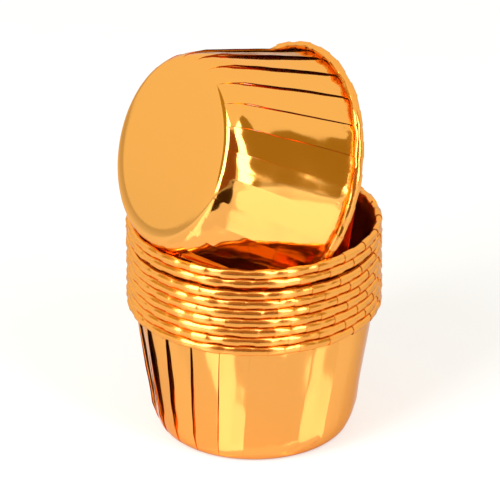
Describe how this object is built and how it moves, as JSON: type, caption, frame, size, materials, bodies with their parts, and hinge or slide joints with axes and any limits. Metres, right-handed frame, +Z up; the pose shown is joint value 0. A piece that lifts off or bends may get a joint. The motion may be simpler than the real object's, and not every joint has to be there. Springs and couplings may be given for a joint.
{
  "type": "stack of cupcake liners",
  "caption": "Nest of gold foil baking cups with knife-pleated tapered walls and rolled rims, with one more cup lying tipped across the mouth of the top one.",
  "frame": {"origin": "centre of the lowest cup's flat base, on the surface that the stack stands on", "axes": "+Z up along the nest's axis; -Y is the front, towards the viewer of the picture; +X to the right"},
  "size_m": [0.0691, 0.0683, 0.1085],
  "materials": {
    "gold_foil": "gold-lacquered metallised film on paper, mirror bright"
  },
  "bodies": {
    "root": {"nested_cup_1": "gold_foil", "nested_cup_2": "gold_foil", "nested_cup_3": "gold_foil", "nested_cup_4": "gold_foil", "nested_cup_5": "gold_foil", "nested_cup_6": "gold_foil", "nested_cup_7": "gold_foil", "nested_cup_8": "gold_foil", "nested_cup_9": "gold_foil", "tipped_cup": "gold_foil"}
  },
  "joints": []
}
